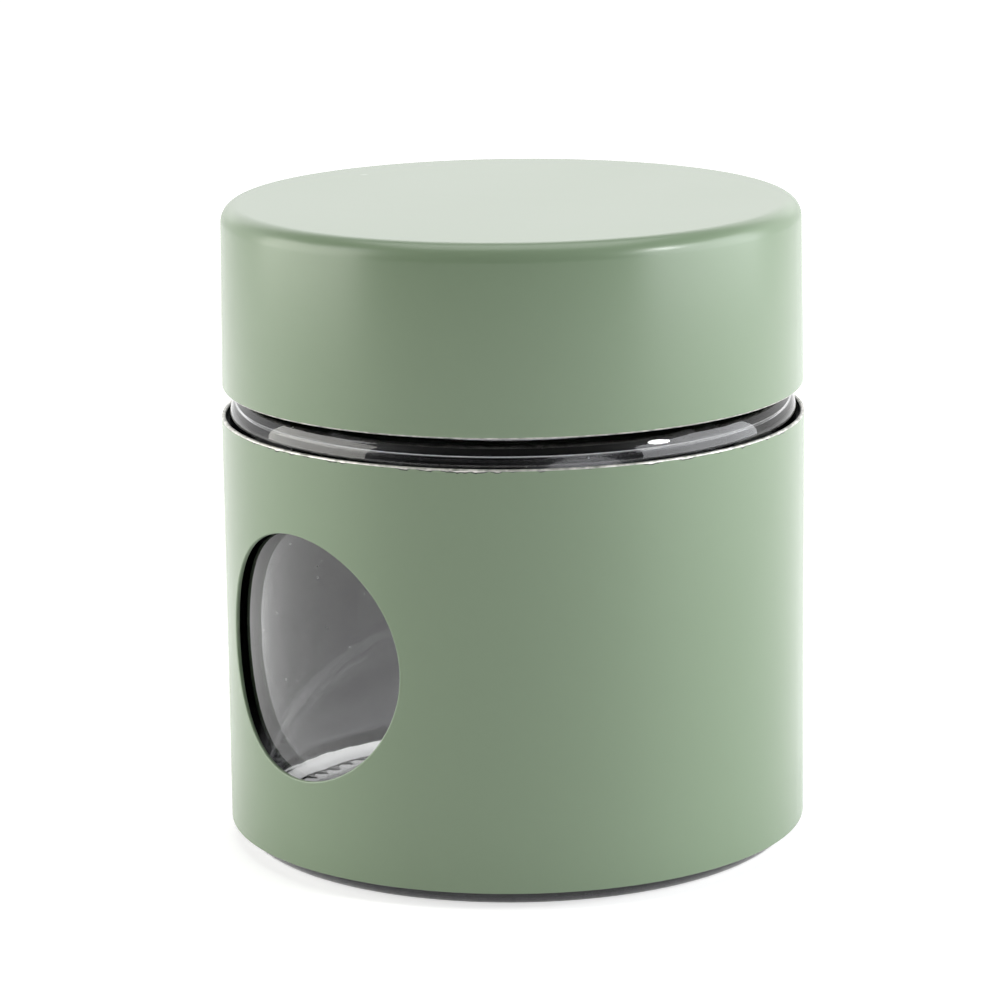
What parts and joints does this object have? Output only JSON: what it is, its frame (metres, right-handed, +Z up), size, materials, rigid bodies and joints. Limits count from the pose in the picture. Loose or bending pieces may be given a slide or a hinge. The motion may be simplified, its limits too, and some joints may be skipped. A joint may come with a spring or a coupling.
{
  "type": "spice jar",
  "caption": "Small spice jar: clear glass in a painted steel sleeve with a round window, closed by a painted steel screw lid with a threaded insert and seal.",
  "frame": {"origin": "middle of the jar's bottom, on the surface that it stands on", "axes": "+Z up along the jar's axis; the sleeve's window faces -Y"},
  "size_m": [0.0702, 0.0702, 0.0776],
  "materials": {
    "clear_glass": "clear, smooth",
    "green_paint": "satin sage-green paint on sheet steel",
    "adhesive": "milky grey hot-melt adhesive",
    "black_plastic": "satin moulded black plastic",
    "seal_rubber": "translucent white silicone"
  },
  "bodies": {
    "jar": {"glass_jar": "clear_glass", "sleeve": "green_paint", "sleeve_glue": "adhesive"},
    "seal": {"lid_seal": "seal_rubber"},
    "lid": {"lid_cap": "green_paint", "lid_insert": "black_plastic", "cap_glue": "adhesive"}
  },
  "joints": [
    {"name": "lid_lift", "type": "slide", "parent": "jar", "child": "seal", "axis": [0, 0, 1], "range_m": [0, 0.024]},
    {"name": "lid_turn", "type": "hinge", "parent": "seal", "child": "lid", "pos_m": [0, 0, 0], "axis": [0, 0, 1], "range_deg": [0, 720]}
  ],
  "couplings": [
    {"joint": "lid_lift", "follows": "lid_turn", "m_per_rad": 0.0019099}
  ]
}
